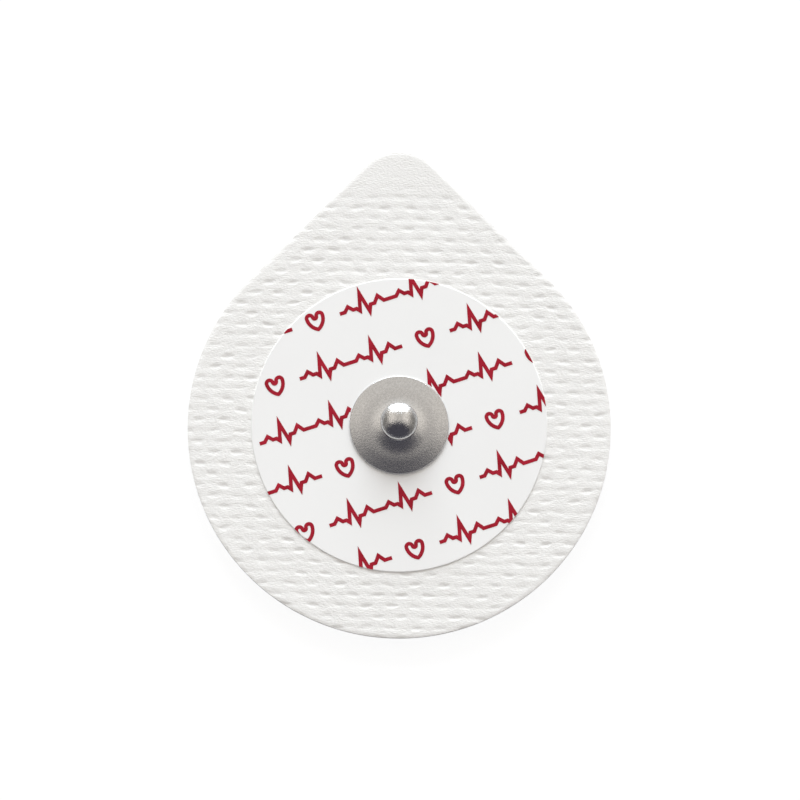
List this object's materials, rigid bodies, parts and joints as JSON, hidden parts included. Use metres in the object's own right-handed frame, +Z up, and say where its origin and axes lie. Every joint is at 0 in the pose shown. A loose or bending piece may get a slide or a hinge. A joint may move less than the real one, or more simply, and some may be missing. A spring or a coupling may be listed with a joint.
{
  "type": "ecg electrode",
  "caption": "Drop-shaped adhesive skin electrode: embossed cloth pad, round printed label, metal snap stud, silver-coated sensor, gel pad and a clear release liner with a formed well.",
  "frame": {"origin": "the snap's axis, on the flat bottom of the liner's well, which the electrode rests on", "axes": "+Z up along the snap's axis, +Y towards the drop's tip, +X to the right as the picture shows it"},
  "size_m": [0.044, 0.051, 0.0058],
  "materials": {
    "liner_film": "clear formed polyester film",
    "cloth": "white nonwoven, embossed",
    "gel": "soft wet hydrogel",
    "sensor": "plastic with a grey silver and silver chloride coat",
    "label_film": "white satin film",
    "ink": "red printing ink",
    "stud_steel": "drawn nickel-plated sheet, polished head and satin flange"
  },
  "bodies": {
    "root": {"release_liner": "liner_film", "backing_cloth": "cloth", "gel_pad": "gel", "sensor_eyelet": "sensor", "cover_label": "label_film", "label_print": "ink", "snap_stud": "stud_steel"}
  },
  "joints": []
}
